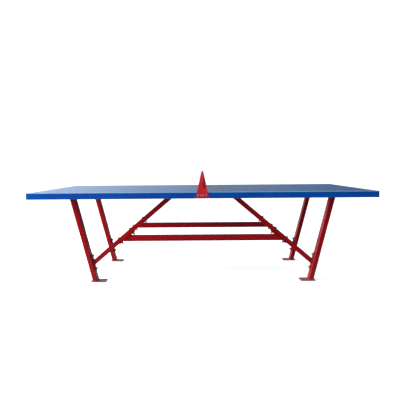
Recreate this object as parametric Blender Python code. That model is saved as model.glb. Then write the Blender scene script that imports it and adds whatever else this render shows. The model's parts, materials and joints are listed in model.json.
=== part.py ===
"""A fixed outdoor table tennis table, in its separate pieces.

Two half tops, each a playing board on a ring of steel rails, stand on four leaning legs.
A brace runs from low on each leg up to the bearer under its half top, a beam ties the
left and right braces together in front and behind, and a steel net stands across the
middle, its end tongues in the slots of two end brackets.

Units are metres: X along the table, Y across it, Z up.  The origin is on the floor under
the middle of the table.  Each leg with its brace is one truss, drawn once for the right
hand end in its own frame (y = 0 in the middle of the truss) and placed four times.
"""
import math

import bmesh
import bpy
from mathutils import Matrix, Vector

# ---- the whole table -------------------------------------------------------------------
LENGTH = 2.740
WIDTH = 1.525
SURFACE_HEIGHT = 0.760
APRON_HEIGHT = 0.050

# ---- half tops -------------------------------------------------------------------------
BOARD_THICKNESS = 0.006
BOARD_EDGE_ROUND = 0.001
RAIL_WIDTH = 0.025
RAIL_WALL = 0.002
RAIL_ROUND = 0.002
BEARER_WIDTH = 0.100

# ---- legs ------------------------------------------------------------------------------
LEG_THICKNESS = 0.040
LEG_DEPTH = 0.080
LEG_WALL = 0.0025
LEG_INSET = 0.268
LEG_LEAN = math.radians(14.4)
TRUSS_INSET = 0.299
HEAD_PLATE_LENGTH = 0.160
HEAD_PLATE_THICKNESS = 0.006
FOOT_LENGTH = 0.122
FOOT_DEPTH = 0.104
FOOT_THICKNESS = 0.008
FOOT_TOE = 0.016
FOOT_HOLE = 0.014

# ---- braces and beams ------------------------------------------------------------------
BRACE_THICKNESS = 0.040
BRACE_DEPTH = 0.040
BRACE_WALL = 0.002
BRACE_HEAD_X = 0.264
BRACE_FOOT_HEIGHT = 0.155
BRACE_HEAD_PLATE_LENGTH = 0.150
BEAM_THICKNESS = 0.050
BEAM_DEPTH = 0.050
BEAM_WALL = 0.002
BEAM_HEIGHT = 0.364
TUBE_ROUND = 0.005
PLATE_ROUND = 0.005
FLANGE_THICKNESS = 0.006
LEG_FLANGE_LENGTH = 0.148
LEG_FLANGE_RISE = 0.006
FLANGE_EDGE = 0.020
BOLT_ROOM = 0.002
WELD_EDGE = 0.006
WELD_SINK = 0.0005
VENT_HOLE = 0.012

# ---- net -------------------------------------------------------------------------------
NET_HEIGHT = 0.150
NET_THICKNESS = 0.003
NET_HEM_WIDTH = 0.012
NET_HEM_HEIGHT = 0.012
NET_LIFT = 0.002
TONGUE_LIFT = 0.026
TONGUE_TOP_DROP = 0.016
TONGUE_REACH = 0.010
BRACKET_THICKNESS = 0.004
BRACKET_BASE = 0.107
BRACKET_TIP = 0.016
BRACKET_DROP = 0.002
BRACKET_FOOT_RISE = 0.001
SLOT_CLEARANCE = 0.0005

# ---- fasteners -------------------------------------------------------------------------
FRAME_BOLT = 0.010
HEAD_BOLT = 0.008
BRACKET_BOLT = 0.008
BRACKET_BOLT_PLACES = (0.009, 0.031)
BRACKET_BOLT_HEIGHT = 0.025
HOLE_CLEARANCE = 0.0005
BOLT_TAIL = 0.007
STUD_ROOT = 0.008

# ---- proportions of a fastener, as shares of its thread diameter -------------------------
WASHER_RADIUS_SHARE = 1.0
WASHER_SHARE = 0.20
WASHER_BITE_SHARE = 0.05
HEAD_SHARE = 0.64
NUT_SHARE = 0.80
FLATS_SHARE = 1.70
SHANK_BITE_SHARE = 0.50

# ---- fits and fineness -----------------------------------------------------------------
TOUCH = 0.0003
ROUND_STEPS = 3
EASED_STEPS = 2
ROUND_PROFILE = 0.5
CREASE_ANGLE = math.radians(40)
PARALLEL = 0.999
HEXAGON_SIDES = 6
BOLT_SIDES = 12
HOLE_SIDES = 12
OVERRUN = 0.020
OVERCUT = 0.001

# ---- worked out from the sizes above ---------------------------------------------------
HALF_LENGTH = LENGTH / 2
HALF_WIDTH = WIDTH / 2
APRON_FOOT = SURFACE_HEIGHT - APRON_HEIGHT
BOARD_FOOT = SURFACE_HEIGHT - BOARD_THICKNESS
RAIL_TOP = BOARD_FOOT - TOUCH
RAIL_HEIGHT = RAIL_TOP - APRON_FOOT
RAIL_MIDDLE = (RAIL_TOP + APRON_FOOT) / 2
TRUSS_Y = HALF_WIDTH - TRUSS_INSET
PLATE_TOP = APRON_FOOT - TOUCH
PLATE_FOOT = PLATE_TOP - HEAD_PLATE_THICKNESS
LEG_SPAN = LEG_THICKNESS / math.cos(LEG_LEAN)
WORLD_UP = Vector((0.0, 0.0, 1.0))

COLOURS = {
    "board": (0.010, 0.115, 0.430),
    "apron": (0.002, 0.080, 0.400),
    "frame": (0.270, 0.008, 0.012),
    "net": (0.440, 0.030, 0.035),
    "foot": (0.200, 0.060, 0.060),
    "zinc": (0.450, 0.450, 0.460),
}


def clear_scene():
    """Remove whatever the scene holds."""
    for item in list(bpy.data.objects):
        bpy.data.objects.remove(item, do_unlink=True)


def make_material(name, colour, roughness, metallic):
    """Return a Principled material of one colour."""
    material = bpy.data.materials.new(name)
    material.use_nodes = True
    shader = material.node_tree.nodes["Principled BSDF"]
    shader.inputs["Base Color"].default_value = (*colour, 1.0)
    shader.inputs["Roughness"].default_value = roughness
    shader.inputs["Metallic"].default_value = metallic
    return material


# ---- shapes ----------------------------------------------------------------------------
def block(size, centre, round_axis=None, radius=0.0):
    """A box; the four edges along round_axis (0, 1 or 2) take the given radius."""
    shape = bmesh.new()
    bmesh.ops.create_cube(shape, size=1.0)
    bmesh.ops.scale(shape, vec=size, verts=shape.verts)
    if round_axis is not None and radius > 0.0:
        edges = [edge for edge in shape.edges if runs_along(edge, round_axis)]
        bmesh.ops.bevel(shape, geom=edges, offset=radius, segments=ROUND_STEPS,
                        profile=ROUND_PROFILE, affect="EDGES", clamp_overlap=True)
    bmesh.ops.translate(shape, vec=centre, verts=shape.verts)
    return shape


def runs_along(edge, axis):
    """True for an edge parallel to one axis."""
    way = edge.verts[1].co - edge.verts[0].co
    return abs(way[axis]) > PARALLEL * way.length


def rod(radius, start, end, sides):
    """A cylinder or prism from start to end."""
    shape = bmesh.new()
    way = Vector(end) - Vector(start)
    bmesh.ops.create_cone(shape, cap_ends=True, cap_tris=False, segments=sides, radius1=radius,
                          radius2=radius, depth=way.length)
    turn = WORLD_UP.rotation_difference(way.normalized()).to_matrix().to_4x4()
    middle = Matrix.Translation((Vector(start) + Vector(end)) / 2)
    bmesh.ops.transform(shape, matrix=middle @ turn, verts=shape.verts)
    return shape


def trim(shape, point, outward):
    """Cut a shape at a plane, drop the side that outward points to, and close the cut."""
    geometry = list(shape.verts) + list(shape.edges) + list(shape.faces)
    bmesh.ops.bisect_plane(shape, geom=geometry, dist=1e-6, plane_co=point, plane_no=outward,
                           clear_outer=True)
    rim = [edge for edge in shape.edges if edge.is_boundary]
    bmesh.ops.edgeloop_fill(shape, edges=rim)
    bmesh.ops.recalc_face_normals(shape, faces=shape.faces)
    return shape


def as_mesh(shape, name):
    """Turn a bmesh shape into mesh data."""
    mesh = bpy.data.meshes.new(name)
    shape.to_mesh(mesh)
    shape.free()
    return mesh


def combine(name, base, joined=(), cut=()):
    """Mesh data of a base shape with shapes joined to it and then others cut away."""
    body = bpy.data.objects.new(name, as_mesh(base, name))
    helpers = []
    bpy.context.scene.collection.objects.link(body)
    steps = [("UNION", shape) for shape in joined] + [("DIFFERENCE", shape) for shape in cut]
    for operation, shape in steps:
        helper = bpy.data.objects.new("helper", as_mesh(shape, "helper"))
        bpy.context.scene.collection.objects.link(helper)
        step = body.modifiers.new(operation.title(), "BOOLEAN")
        step.operation = operation
        step.solver = "EXACT"
        step.object = helper
        helpers.append(helper)
    seen = body.evaluated_get(bpy.context.evaluated_depsgraph_get())
    mesh = bpy.data.meshes.new_from_object(seen)
    mesh.name = name
    for item in helpers + [body]:
        bpy.data.objects.remove(item, do_unlink=True)
    return mesh


def smooth_round(mesh):
    """Shade the rounded stretches smooth and keep the flats crisp."""
    mesh.shade_smooth()
    mesh.set_sharp_from_angle(angle=CREASE_ANGLE)
    return mesh


def tube(size, centre, axis, wall, radius, trims=()):
    """Outer and inner shapes of a rectangular tube along an axis, ends cut by planes."""
    outer = block(size, centre, axis, radius)
    for point, outward in trims:
        trim(outer, point, outward)
    inner_size = [side - 2 * wall for side in size]
    inner_size[axis] = size[axis] + 2 * OVERRUN
    inner = block(inner_size, centre, axis, max(radius - wall, 0.0))
    return outer, inner


# ---- the truss, drawn for the right-hand end -------------------------------------------
class Truss:
    """Where the leg, the brace and the beam lie in the truss's own frame."""

    def __init__(self):
        head_outer = HALF_LENGTH - LEG_INSET
        self.foot_outer = head_outer - APRON_FOOT * math.tan(LEG_LEAN)
        self.leg_way = Vector((math.sin(LEG_LEAN), 0.0, math.cos(LEG_LEAN)))
        self.leg_in = Vector((-math.cos(LEG_LEAN), 0.0, math.sin(LEG_LEAN)))
        joint = self.leg_face(BRACE_FOOT_HEIGHT)
        self.brace_head = Vector((BRACE_HEAD_X, 0.0, APRON_FOOT))
        self.brace_way = (joint - self.brace_head).normalized()
        self.brace_under = Vector((self.brace_way.z, 0.0, -self.brace_way.x))
        self.joint = joint
        self.flange_middle = joint + self.leg_way * LEG_FLANGE_RISE
        reach = (BEAM_HEIGHT - APRON_FOOT) / self.brace_way.z
        axis_point = self.brace_head + self.brace_way * reach
        slip = BRACE_THICKNESS / 2 / self.brace_under.x
        self.beam_joint = Vector((axis_point.x + slip, 0.0, BEAM_HEIGHT))

    def leg_face(self, height):
        """The point of the leg's inner face at a height."""
        outer = self.foot_outer + height * math.tan(LEG_LEAN)
        return Vector((outer - LEG_SPAN, 0.0, height))

    def leg_bolts(self):
        """Middles of the two bolt holes on the leg's inner face, upper one first."""
        half = LEG_FLANGE_LENGTH / 2 - FLANGE_EDGE
        return [self.flange_middle + self.leg_way * side * half for side in (1, -1)]

    def beam_bolt_reaches(self):
        """How far above and below the beam's axis its two flange bolts lie, along the brace.

        The upper bolt points down over the beam, so its tail sets the room that it needs;
        the lower one points away from the beam, so its washer does.
        """
        sine = -self.brace_way.z
        cosine = self.brace_way.x
        foot = BEAM_THICKNESS / 2 / sine
        tail = FLANGE_THICKNESS + FRAME_BOLT + BOLT_TAIL
        upper = foot + FRAME_BOLT / 2 + (tail * cosine + BOLT_ROOM) / sine
        lower = foot + FRAME_BOLT + BOLT_ROOM
        return upper, lower

    def beam_bolts(self):
        """Middles of the two bolt holes on the brace's underside, upper one first."""
        upper, lower = self.beam_bolt_reaches()
        return [self.beam_joint + self.brace_way * reach for reach in (-upper, lower)]


def frame_of(origin, along, across):
    """Matrix whose X runs along, whose Z runs across, at an origin."""
    third = across.cross(along)
    turn = Matrix((along, third, across)).transposed().to_4x4()
    return Matrix.Translation(origin) @ turn


def plate(length, width, thickness, origin, along, out):
    """A flat plate lying on a plane: length along, thickness out of it from the origin."""
    shape = block((length, width, thickness), (0.0, 0.0, thickness / 2), 2, PLATE_ROUND)
    bmesh.ops.transform(shape, matrix=frame_of(origin, along, out), verts=shape.verts)
    return shape


def turned_block(size, origin, along, across, radius):
    """A block whose length lies along a direction, its four long edges rounded."""
    shape = block(size, (0.0, 0.0, 0.0), 0, radius)
    bmesh.ops.transform(shape, matrix=frame_of(origin, along, across), verts=shape.verts)
    return shape


def bolt_hole(middle, way, bolt, before, after):
    """A cutter for a bolt's hole, reaching before and after its middle point."""
    radius = bolt / 2 + HOLE_CLEARANCE
    return rod(radius, middle - way * before, middle + way * after, HOLE_SIDES)


def head_bolt_places(middle_x, length):
    """Middles of the two bolt holes of a head plate."""
    half = length / 2 - FLANGE_EDGE
    return [Vector((middle_x + side * half, 0.0, PLATE_FOOT)) for side in (-1, 1)]


def leg_head_middle():
    """X of the middle of the leg's head plate."""
    return HALF_LENGTH - LEG_INSET - LEG_SPAN / 2


def leg_mesh(truss):
    """Leaning tube, square on the foot plate, with its head plate welded on."""
    middle = truss.leg_face(APRON_FOOT / 2) - truss.leg_in * LEG_THICKNESS / 2
    length = APRON_FOOT / math.cos(LEG_LEAN) + 2 * OVERRUN
    size = (length, LEG_DEPTH, LEG_THICKNESS)
    outer = turned_block(size, middle, truss.leg_way, truss.leg_in, TUBE_ROUND)
    trim(outer, (0.0, 0.0, FOOT_THICKNESS + TOUCH), -WORLD_UP)
    trim(outer, (0.0, 0.0, PLATE_FOOT + HEAD_PLATE_THICKNESS / 2), WORLD_UP)
    core_size = (length + 2 * OVERRUN, LEG_DEPTH - 2 * LEG_WALL, LEG_THICKNESS - 2 * LEG_WALL)
    core_round = TUBE_ROUND - LEG_WALL
    core = turned_block(core_size, middle, truss.leg_way, truss.leg_in, core_round)
    trim(core, (0.0, 0.0, PLATE_FOOT + WELD_SINK), WORLD_UP)
    plate_x = leg_head_middle()
    head_size = (HEAD_PLATE_LENGTH, LEG_DEPTH + 2 * WELD_EDGE, HEAD_PLATE_THICKNESS)
    head = block(head_size, (plate_x, 0.0, (PLATE_TOP + PLATE_FOOT) / 2), 2, PLATE_ROUND)
    holes = [bolt_hole(place, truss.leg_in, FRAME_BOLT, LEG_THICKNESS / 2, OVERRUN)
             for place in truss.leg_bolts()]
    holes += [bolt_hole(place, WORLD_UP, HEAD_BOLT, OVERCUT, OVERRUN)
              for place in head_bolt_places(plate_x, HEAD_PLATE_LENGTH)]
    return combine("leg", outer, [head], [core] + holes)


def foot_plate_mesh(truss):
    """Floor plate under a leg, with two anchor holes in the part that reaches inward."""
    outer_end = truss.foot_outer + FOOT_TOE
    middle_x = outer_end - FOOT_LENGTH / 2
    base = block((FOOT_LENGTH, FOOT_DEPTH, FOOT_THICKNESS), (middle_x, 0.0, FOOT_THICKNESS / 2),
                 2, PLATE_ROUND)
    inner_end = outer_end - FOOT_LENGTH
    leg_inner = truss.foot_outer - LEG_SPAN
    hole_x = (inner_end + leg_inner) / 2
    hole_y = FOOT_DEPTH / 4
    holes = [rod(FOOT_HOLE / 2, (hole_x, side * hole_y, -OVERRUN),
                 (hole_x, side * hole_y, FOOT_THICKNESS + OVERRUN), HOLE_SIDES)
             for side in (-1, 1)]
    return combine("foot_plate", base, (), holes)


def brace_mesh(truss):
    """Square tube from the leg's flange up to its head plate under the bearer."""
    middle = (truss.brace_head + truss.joint) / 2
    length = (truss.joint - truss.brace_head).length + 4 * OVERRUN
    size = (length, BRACE_DEPTH, BRACE_THICKNESS)
    outer = turned_block(size, middle, truss.brace_way, truss.brace_under, TUBE_ROUND)
    foot_point = truss.joint + truss.leg_in * (FLANGE_THICKNESS + 2 * TOUCH)
    trim(outer, foot_point, -truss.leg_in)
    trim(outer, (0.0, 0.0, PLATE_FOOT + HEAD_PLATE_THICKNESS / 2), WORLD_UP)
    core_size = (length + 2 * OVERRUN, BRACE_DEPTH - 2 * BRACE_WALL,
                 BRACE_THICKNESS - 2 * BRACE_WALL)
    core_round = TUBE_ROUND - BRACE_WALL
    core = turned_block(core_size, middle, truss.brace_way, truss.brace_under, core_round)
    trim(core, (0.0, 0.0, PLATE_FOOT + WELD_SINK), WORLD_UP)
    plate_x = brace_head_middle(truss)
    head_size = (BRACE_HEAD_PLATE_LENGTH, BRACE_DEPTH + 2 * WELD_EDGE, HEAD_PLATE_THICKNESS)
    head = block(head_size, (plate_x, 0.0, (PLATE_TOP + PLATE_FOOT) / 2), 2, PLATE_ROUND)
    holes = [bolt_hole(place, truss.brace_under, FRAME_BOLT, BRACE_THICKNESS + OVERRUN, OVERRUN)
             for place in truss.beam_bolts()]
    holes += [bolt_hole(place, WORLD_UP, HEAD_BOLT, OVERCUT, OVERRUN)
              for place in head_bolt_places(plate_x, BRACE_HEAD_PLATE_LENGTH)]
    return combine("brace", outer, [head], [core] + holes)


def brace_head_middle(truss):
    """X of the middle of the brace's head plate."""
    drop = (PLATE_FOOT - APRON_FOOT) / truss.brace_way.z
    return (truss.brace_head + truss.brace_way * drop).x


def brace_flange_mesh(truss):
    """Plate between the brace's foot and the leg's inner face."""
    origin = truss.flange_middle + truss.leg_in * TOUCH
    base = plate(LEG_FLANGE_LENGTH, BRACE_DEPTH + 2 * WELD_EDGE, FLANGE_THICKNESS, origin,
                 truss.leg_way, truss.leg_in)
    holes = [bolt_hole(place, truss.leg_in, FRAME_BOLT, OVERRUN, OVERRUN)
             for place in truss.leg_bolts()]
    return combine("brace_flange", base, (), holes)


def hexagon(bolt):
    """Corner radius of the hexagon head or nut of a bolt."""
    return FLATS_SHARE * bolt / math.sqrt(3)


def tail_end(bolt, grip):
    """How far a bolt reaches through a grip, its nut and its spare thread."""
    return grip + TOUCH + bolt + BOLT_TAIL


def stacked(name, bolt, start, end, lumps):
    """A shank from start to end with hexagons and washers on it, all along Z."""
    shank = rod(bolt / 2, (0.0, 0.0, start), (0.0, 0.0, end), BOLT_SIDES)
    joined = [rod(radius, (0.0, 0.0, low), (0.0, 0.0, high), sides)
              for radius, low, high, sides in lumps]
    return smooth_round(combine(name, shank, joined))


def head_lumps(bolt):
    """Washer and hexagon head that sit below Z = 0."""
    seat = -TOUCH - WASHER_SHARE * bolt
    bite = WASHER_BITE_SHARE * bolt
    return [(WASHER_RADIUS_SHARE * bolt, seat, -TOUCH, BOLT_SIDES),
            (hexagon(bolt), seat - HEAD_SHARE * bolt, seat + bite, HEXAGON_SIDES)]


def nut_lumps(bolt, level):
    """Washer and nut that sit above a level."""
    seat = level + TOUCH + WASHER_SHARE * bolt
    bite = WASHER_BITE_SHARE * bolt
    return [(WASHER_RADIUS_SHARE * bolt, level + TOUCH, seat, BOLT_SIDES),
            (hexagon(bolt), seat - bite, seat + NUT_SHARE * bolt, HEXAGON_SIDES)]


def shank_start(bolt):
    """Where a shank begins inside its head."""
    return -TOUCH - SHANK_BITE_SHARE * bolt


def through_bolt_mesh(name, bolt, grip):
    """Bolt and nut that clamp a grip from Z = 0 upwards."""
    lumps = head_lumps(bolt) + nut_lumps(bolt, grip)
    return stacked(name, bolt, shank_start(bolt), tail_end(bolt, grip), lumps)


def stud_mesh(name, bolt, grip):
    """Stud rooted in a leg wall below Z = 0, with its nut above the grip."""
    return stacked(name, bolt, -STUD_ROOT, tail_end(bolt, grip), nut_lumps(bolt, grip))


def screw_mesh(name, bolt, root):
    """Hexagon screw with its head below Z = 0 and its point at root."""
    return stacked(name, bolt, shank_start(bolt), root, head_lumps(bolt))


# ---- pieces drawn where they stand ------------------------------------------------------
def board_mesh():
    """One half's playing board, upper edges just eased, centred on its own origin."""
    length = HALF_LENGTH - TOUCH / 2
    board = block((length, WIDTH, BOARD_THICKNESS), (0.0, 0.0, 0.0))
    top = [edge for edge in board.edges if min(v.co.z for v in edge.verts) > 0.0]
    bmesh.ops.bevel(board, geom=top, offset=BOARD_EDGE_ROUND, segments=EASED_STEPS,
                    profile=ROUND_PROFILE, affect="EDGES", clamp_overlap=True)
    return smooth_round(as_mesh(board, "board"))


def long_rail_mesh():
    """Front rail of the right-hand half: X from the middle, mitred at the table's end."""
    size = (HALF_LENGTH - TOUCH / 2, RAIL_WIDTH, RAIL_HEIGHT)
    middle = (HALF_LENGTH / 2 + TOUCH / 4, 0.0, 0.0)
    corner = Vector((HALF_LENGTH - TOUCH / 2, -RAIL_WIDTH / 2, 0.0))
    mitre = (corner, Vector((1.0, 1.0, 0.0)))
    outer, inner = tube(size, middle, 0, RAIL_WALL, RAIL_ROUND, [mitre])
    bolts = [rod(BRACKET_BOLT / 2 + HOLE_CLEARANCE, (place, -RAIL_WIDTH, bracket_bolt_drop()),
                 (place, 0.0, bracket_bolt_drop()), HOLE_SIDES)
             for place in BRACKET_BOLT_PLACES]
    return smooth_round(combine("long_rail", outer, (), [inner] + bolts))


def bracket_bolt_drop():
    """Height of the bracket bolts over the middle of the rails."""
    return APRON_FOOT + BRACKET_BOLT_HEIGHT - RAIL_MIDDLE


def end_rail_mesh():
    """Rail across the table's end, mitred at both corners, outer face at +X."""
    size = (RAIL_WIDTH, WIDTH, RAIL_HEIGHT)
    trims = []
    for side in (-1, 1):
        corner = Vector((RAIL_WIDTH / 2, side * (HALF_WIDTH - TOUCH / 2), 0.0))
        trims.append((corner, Vector((-1.0, side, 0.0))))
    outer, inner = tube(size, (0.0, 0.0, 0.0), 1, RAIL_WALL, RAIL_ROUND, trims)
    return smooth_round(combine("end_rail", outer, (), [inner]))


def centre_rail_mesh():
    """Rail along the joint between the halves, butted between the long rails."""
    size = (RAIL_WIDTH, WIDTH - 2 * (RAIL_WIDTH + TOUCH), RAIL_HEIGHT)
    outer, inner = tube(size, (0.0, 0.0, 0.0), 1, RAIL_WALL, RAIL_ROUND)
    return smooth_round(combine("centre_rail", outer, (), [inner]))


def bearer_span():
    """X of the two ends of the right-hand bearers."""
    inner_end = TOUCH / 2 + RAIL_WIDTH + TOUCH
    outer_end = HALF_LENGTH - RAIL_WIDTH - TOUCH
    return inner_end, outer_end


def bearer_mesh(truss):
    """Flat tube under a board that the leg and the brace bolt to, in the truss's frame."""
    inner_end, outer_end = bearer_span()
    size = (outer_end - inner_end, BEARER_WIDTH, RAIL_HEIGHT)
    middle = ((inner_end + outer_end) / 2, 0.0, RAIL_MIDDLE)
    outer, inner = tube(size, middle, 0, RAIL_WALL, RAIL_ROUND)
    places = head_bolt_places(leg_head_middle(), HEAD_PLATE_LENGTH)
    places += head_bolt_places(brace_head_middle(truss), BRACE_HEAD_PLATE_LENGTH)
    holes = [bolt_hole(place, WORLD_UP, HEAD_BOLT, 0.0, OVERRUN) for place in places]
    return smooth_round(combine("bearer", outer, (), [inner] + holes))


def beam_mesh(truss):
    """Tube between the left and right braces with a drilled flange welded on each end."""
    through = TOUCH + FLANGE_THICKNESS
    face = truss.beam_joint + truss.brace_under * through
    upper, lower = truss.beam_bolt_reaches()
    flange_length = upper + lower + 2 * FLANGE_EDGE
    flange_width = BEAM_DEPTH + 2 * WELD_EDGE
    flange_middle = truss.beam_joint + truss.brace_way * (lower - upper) / 2
    length = 2 * truss.beam_joint.x + 4 * OVERRUN
    size = (length, BEAM_DEPTH, BEAM_THICKNESS)
    outer = block(size, (0.0, 0.0, BEAM_HEIGHT), 0, TUBE_ROUND)
    core_size = (length + 2 * OVERRUN, BEAM_DEPTH - 2 * BEAM_WALL, BEAM_THICKNESS - 2 * BEAM_WALL)
    core = block(core_size, (0.0, 0.0, BEAM_HEIGHT), 0, TUBE_ROUND - BEAM_WALL)
    flanges = []
    holes = []
    for side in (-1, 1):
        mirror = Vector((side, 1.0, 1.0))
        out = -truss.brace_under * mirror
        along = truss.brace_way * mirror
        weld = face * mirror + out * FLANGE_THICKNESS / 2
        trim(outer, weld, out)
        trim(core, face * mirror + out * WELD_SINK, out)
        origin = (flange_middle + truss.brace_under * TOUCH) * mirror
        flanges.append(plate(flange_length, flange_width, FLANGE_THICKNESS, origin, along, -out))
        holes += [bolt_hole(place * mirror, -out, FRAME_BOLT, OVERCUT, through + OVERCUT)
                  for place in truss.beam_bolts()]
        vent = truss.beam_joint * mirror
        holes.append(rod(VENT_HOLE / 2, vent + out * OVERCUT, vent - out * (through + OVERCUT),
                         HOLE_SIDES))
    return smooth_round(combine("beam", outer, flanges, [core] + holes))


def net_mesh():
    """Steel net with a folded hem along its top and a tongue at each end."""
    foot = SURFACE_HEIGHT + NET_LIFT
    top = SURFACE_HEIGHT + NET_HEIGHT
    hem_foot = top - NET_HEM_HEIGHT
    sheet_top = top - NET_HEM_HEIGHT / 2
    sheet = block((NET_THICKNESS, WIDTH, sheet_top - foot), (0.0, 0.0, (sheet_top + foot) / 2))
    hem = block((NET_HEM_WIDTH, WIDTH, NET_HEM_HEIGHT), (0.0, 0.0, (top + hem_foot) / 2), 1,
                NET_HEM_WIDTH / 3)
    low, high = tongue_span()
    reach = WIDTH + 2 * (TOUCH + BRACKET_THICKNESS + TONGUE_REACH)
    tongues = block((NET_THICKNESS, reach, high - low), (0.0, 0.0, (high + low) / 2), 0,
                    TONGUE_REACH / 2)
    return smooth_round(combine("net", sheet, [hem, tongues]))


def tongue_span():
    """Z of the lower and upper edge of the net's tongues."""
    low = SURFACE_HEIGHT + TONGUE_LIFT
    high = SURFACE_HEIGHT + NET_HEIGHT - TONGUE_TOP_DROP
    return low, high


def bracket_mesh():
    """Front end bracket: an upright tapering plate, bolted on the apron, with a slot."""
    foot = APRON_FOOT + BRACKET_FOOT_RISE
    top = SURFACE_HEIGHT + NET_HEIGHT - BRACKET_DROP
    back = -HALF_WIDTH - TOUCH
    size = (BRACKET_BASE, BRACKET_THICKNESS, top - foot)
    base = block(size, (0.0, back - BRACKET_THICKNESS / 2, (top + foot) / 2))
    taper = (BRACKET_BASE - BRACKET_TIP) / 2
    for side in (-1, 1):
        outward = Vector((side * (top - foot), 0.0, taper))
        trim(base, (side * BRACKET_BASE / 2, 0.0, foot), outward)
    low, high = tongue_span()
    gap = NET_THICKNESS + 2 * SLOT_CLEARANCE
    slot = block((gap, 2 * OVERRUN, high - low + 2 * SLOT_CLEARANCE), (0.0, back, (high + low) / 2))
    height = APRON_FOOT + BRACKET_BOLT_HEIGHT
    holes = []
    for place in bracket_bolt_row():
        holes.append(rod(BRACKET_BOLT / 2 + HOLE_CLEARANCE, (place, back - OVERRUN, height),
                         (place, back + OVERRUN, height), HOLE_SIDES))
    return combine("bracket", base, (), [slot] + holes)


def bracket_bolt_row():
    """X of the four bolts of a bracket, left to right."""
    return sorted([side * place for side in (-1, 1) for place in BRACKET_BOLT_PLACES])


# ---- assembly --------------------------------------------------------------------------
class Assembly:
    """Places meshes as named objects in the table's collection."""

    def __init__(self):
        self.collection = bpy.data.collections.new("table_tennis_table")
        bpy.context.scene.collection.children.link(self.collection)
        self.materials = {}

    def paint(self, key, roughness, metallic):
        """Make the material of a key of COLOURS."""
        self.materials[key] = make_material(key, COLOURS[key], roughness, metallic)

    def add(self, name, mesh, key, parent=None, place=Matrix.Identity(4)):
        """Place a mesh, which other objects may share, as one named piece."""
        if not mesh.materials:
            mesh.materials.append(self.materials[key])
        piece = bpy.data.objects.new(name, mesh)
        self.collection.objects.link(piece)
        piece.parent = parent
        piece.matrix_local = place
        return piece

    def empty(self, name, place):
        """A guide that pieces hang from."""
        guide = bpy.data.objects.new(name, None)
        self.collection.objects.link(guide)
        guide.matrix_world = place
        return guide


def turned(angle, x=0.0, y=0.0, z=0.0):
    """A place turned about the upright axis."""
    return Matrix.Translation((x, y, z)) @ Matrix.Rotation(angle, 4, "Z")


def add_half_tops(table):
    """Boards and rails of both halves."""
    board = board_mesh()
    long_rail = long_rail_mesh()
    mirrored = mirror_along_x(long_rail)
    end_rail = end_rail_mesh()
    centre_rail = centre_rail_mesh()
    rail_y = HALF_WIDTH - RAIL_WIDTH / 2
    for side_name, side in (("left", -1), ("right", 1)):
        turn = 0.0 if side > 0 else math.pi
        board_x = side * (HALF_LENGTH + TOUCH / 2) / 2
        board_z = SURFACE_HEIGHT - BOARD_THICKNESS / 2
        table.add(f"playing_board_{side_name}", board, "board", None,
                  turned(0.0, board_x, 0.0, board_z))
        front, rear = (long_rail, mirrored) if side > 0 else (mirrored, long_rail)
        table.add(f"front_rail_{side_name}", front, "apron", None,
                  turned(0.0, 0.0, -rail_y, RAIL_MIDDLE))
        table.add(f"rear_rail_{side_name}", rear, "apron", None,
                  turned(math.pi, 0.0, rail_y, RAIL_MIDDLE))
        table.add(f"end_rail_{side_name}", end_rail, "apron", None,
                  turned(turn, side * (HALF_LENGTH - RAIL_WIDTH / 2), 0.0, RAIL_MIDDLE))
        centre_x = side * (TOUCH / 2 + RAIL_WIDTH / 2)
        table.add(f"centre_rail_{side_name}", centre_rail, "apron", None,
                  turned(0.0, centre_x, 0.0, RAIL_MIDDLE))


def mirror_along_x(mesh):
    """A copy of a mesh mirrored in X, faces turned out again."""
    copy = mesh.copy()
    copy.name = mesh.name + "_mirrored"
    copy.transform(Matrix.Scale(-1.0, 4, (1.0, 0.0, 0.0)))
    copy.flip_normals()
    return copy


def add_trusses(table, truss):
    """Bearer, leg, foot plate, brace, flange and their fasteners, four times over."""
    bearer = bearer_mesh(truss)
    leg = smooth_round(leg_mesh(truss))
    foot = smooth_round(foot_plate_mesh(truss))
    brace = smooth_round(brace_mesh(truss))
    flange = smooth_round(brace_flange_mesh(truss))
    stud = stud_mesh("leg_stud", FRAME_BOLT, FLANGE_THICKNESS + TOUCH)
    beam_bolt = through_bolt_mesh("beam_bolt", FRAME_BOLT,
                                  BRACE_THICKNESS + FLANGE_THICKNESS + TOUCH)
    for row_name, row in (("front", -1), ("rear", 1)):
        for side_name, side in (("left", -1), ("right", 1)):
            corner = f"{row_name}_{side_name}"
            turn = 0.0 if side > 0 else math.pi
            guide = table.empty(f"truss_{corner}", turned(turn, 0.0, row * TRUSS_Y))
            table.add(f"bearer_{corner}", bearer, "apron", guide)
            table.add(f"leg_{corner}", leg, "frame", guide)
            table.add(f"foot_plate_{corner}", foot, "foot", guide)
            table.add(f"brace_{corner}", brace, "frame", guide)
            table.add(f"brace_flange_{corner}", flange, "frame", guide)
            for level, place in zip(("upper", "lower"), truss.leg_bolts()):
                table.add(f"leg_stud_{level}_{corner}", stud, "zinc", guide,
                          frame_of(place, truss.leg_way, truss.leg_in))
            for level, place in zip(("upper", "lower"), truss.beam_bolts()):
                top = place - truss.brace_under * BRACE_THICKNESS
                table.add(f"beam_bolt_{level}_{corner}", beam_bolt, "zinc", guide,
                          frame_of(top, truss.brace_way, truss.brace_under))


def add_beams(table, truss):
    """Front and rear beam."""
    beam = beam_mesh(truss)
    for row_name, row in (("front", -1), ("rear", 1)):
        table.add(f"beam_{row_name}", beam, "frame", None, turned(0.0, 0.0, row * TRUSS_Y))


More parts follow.
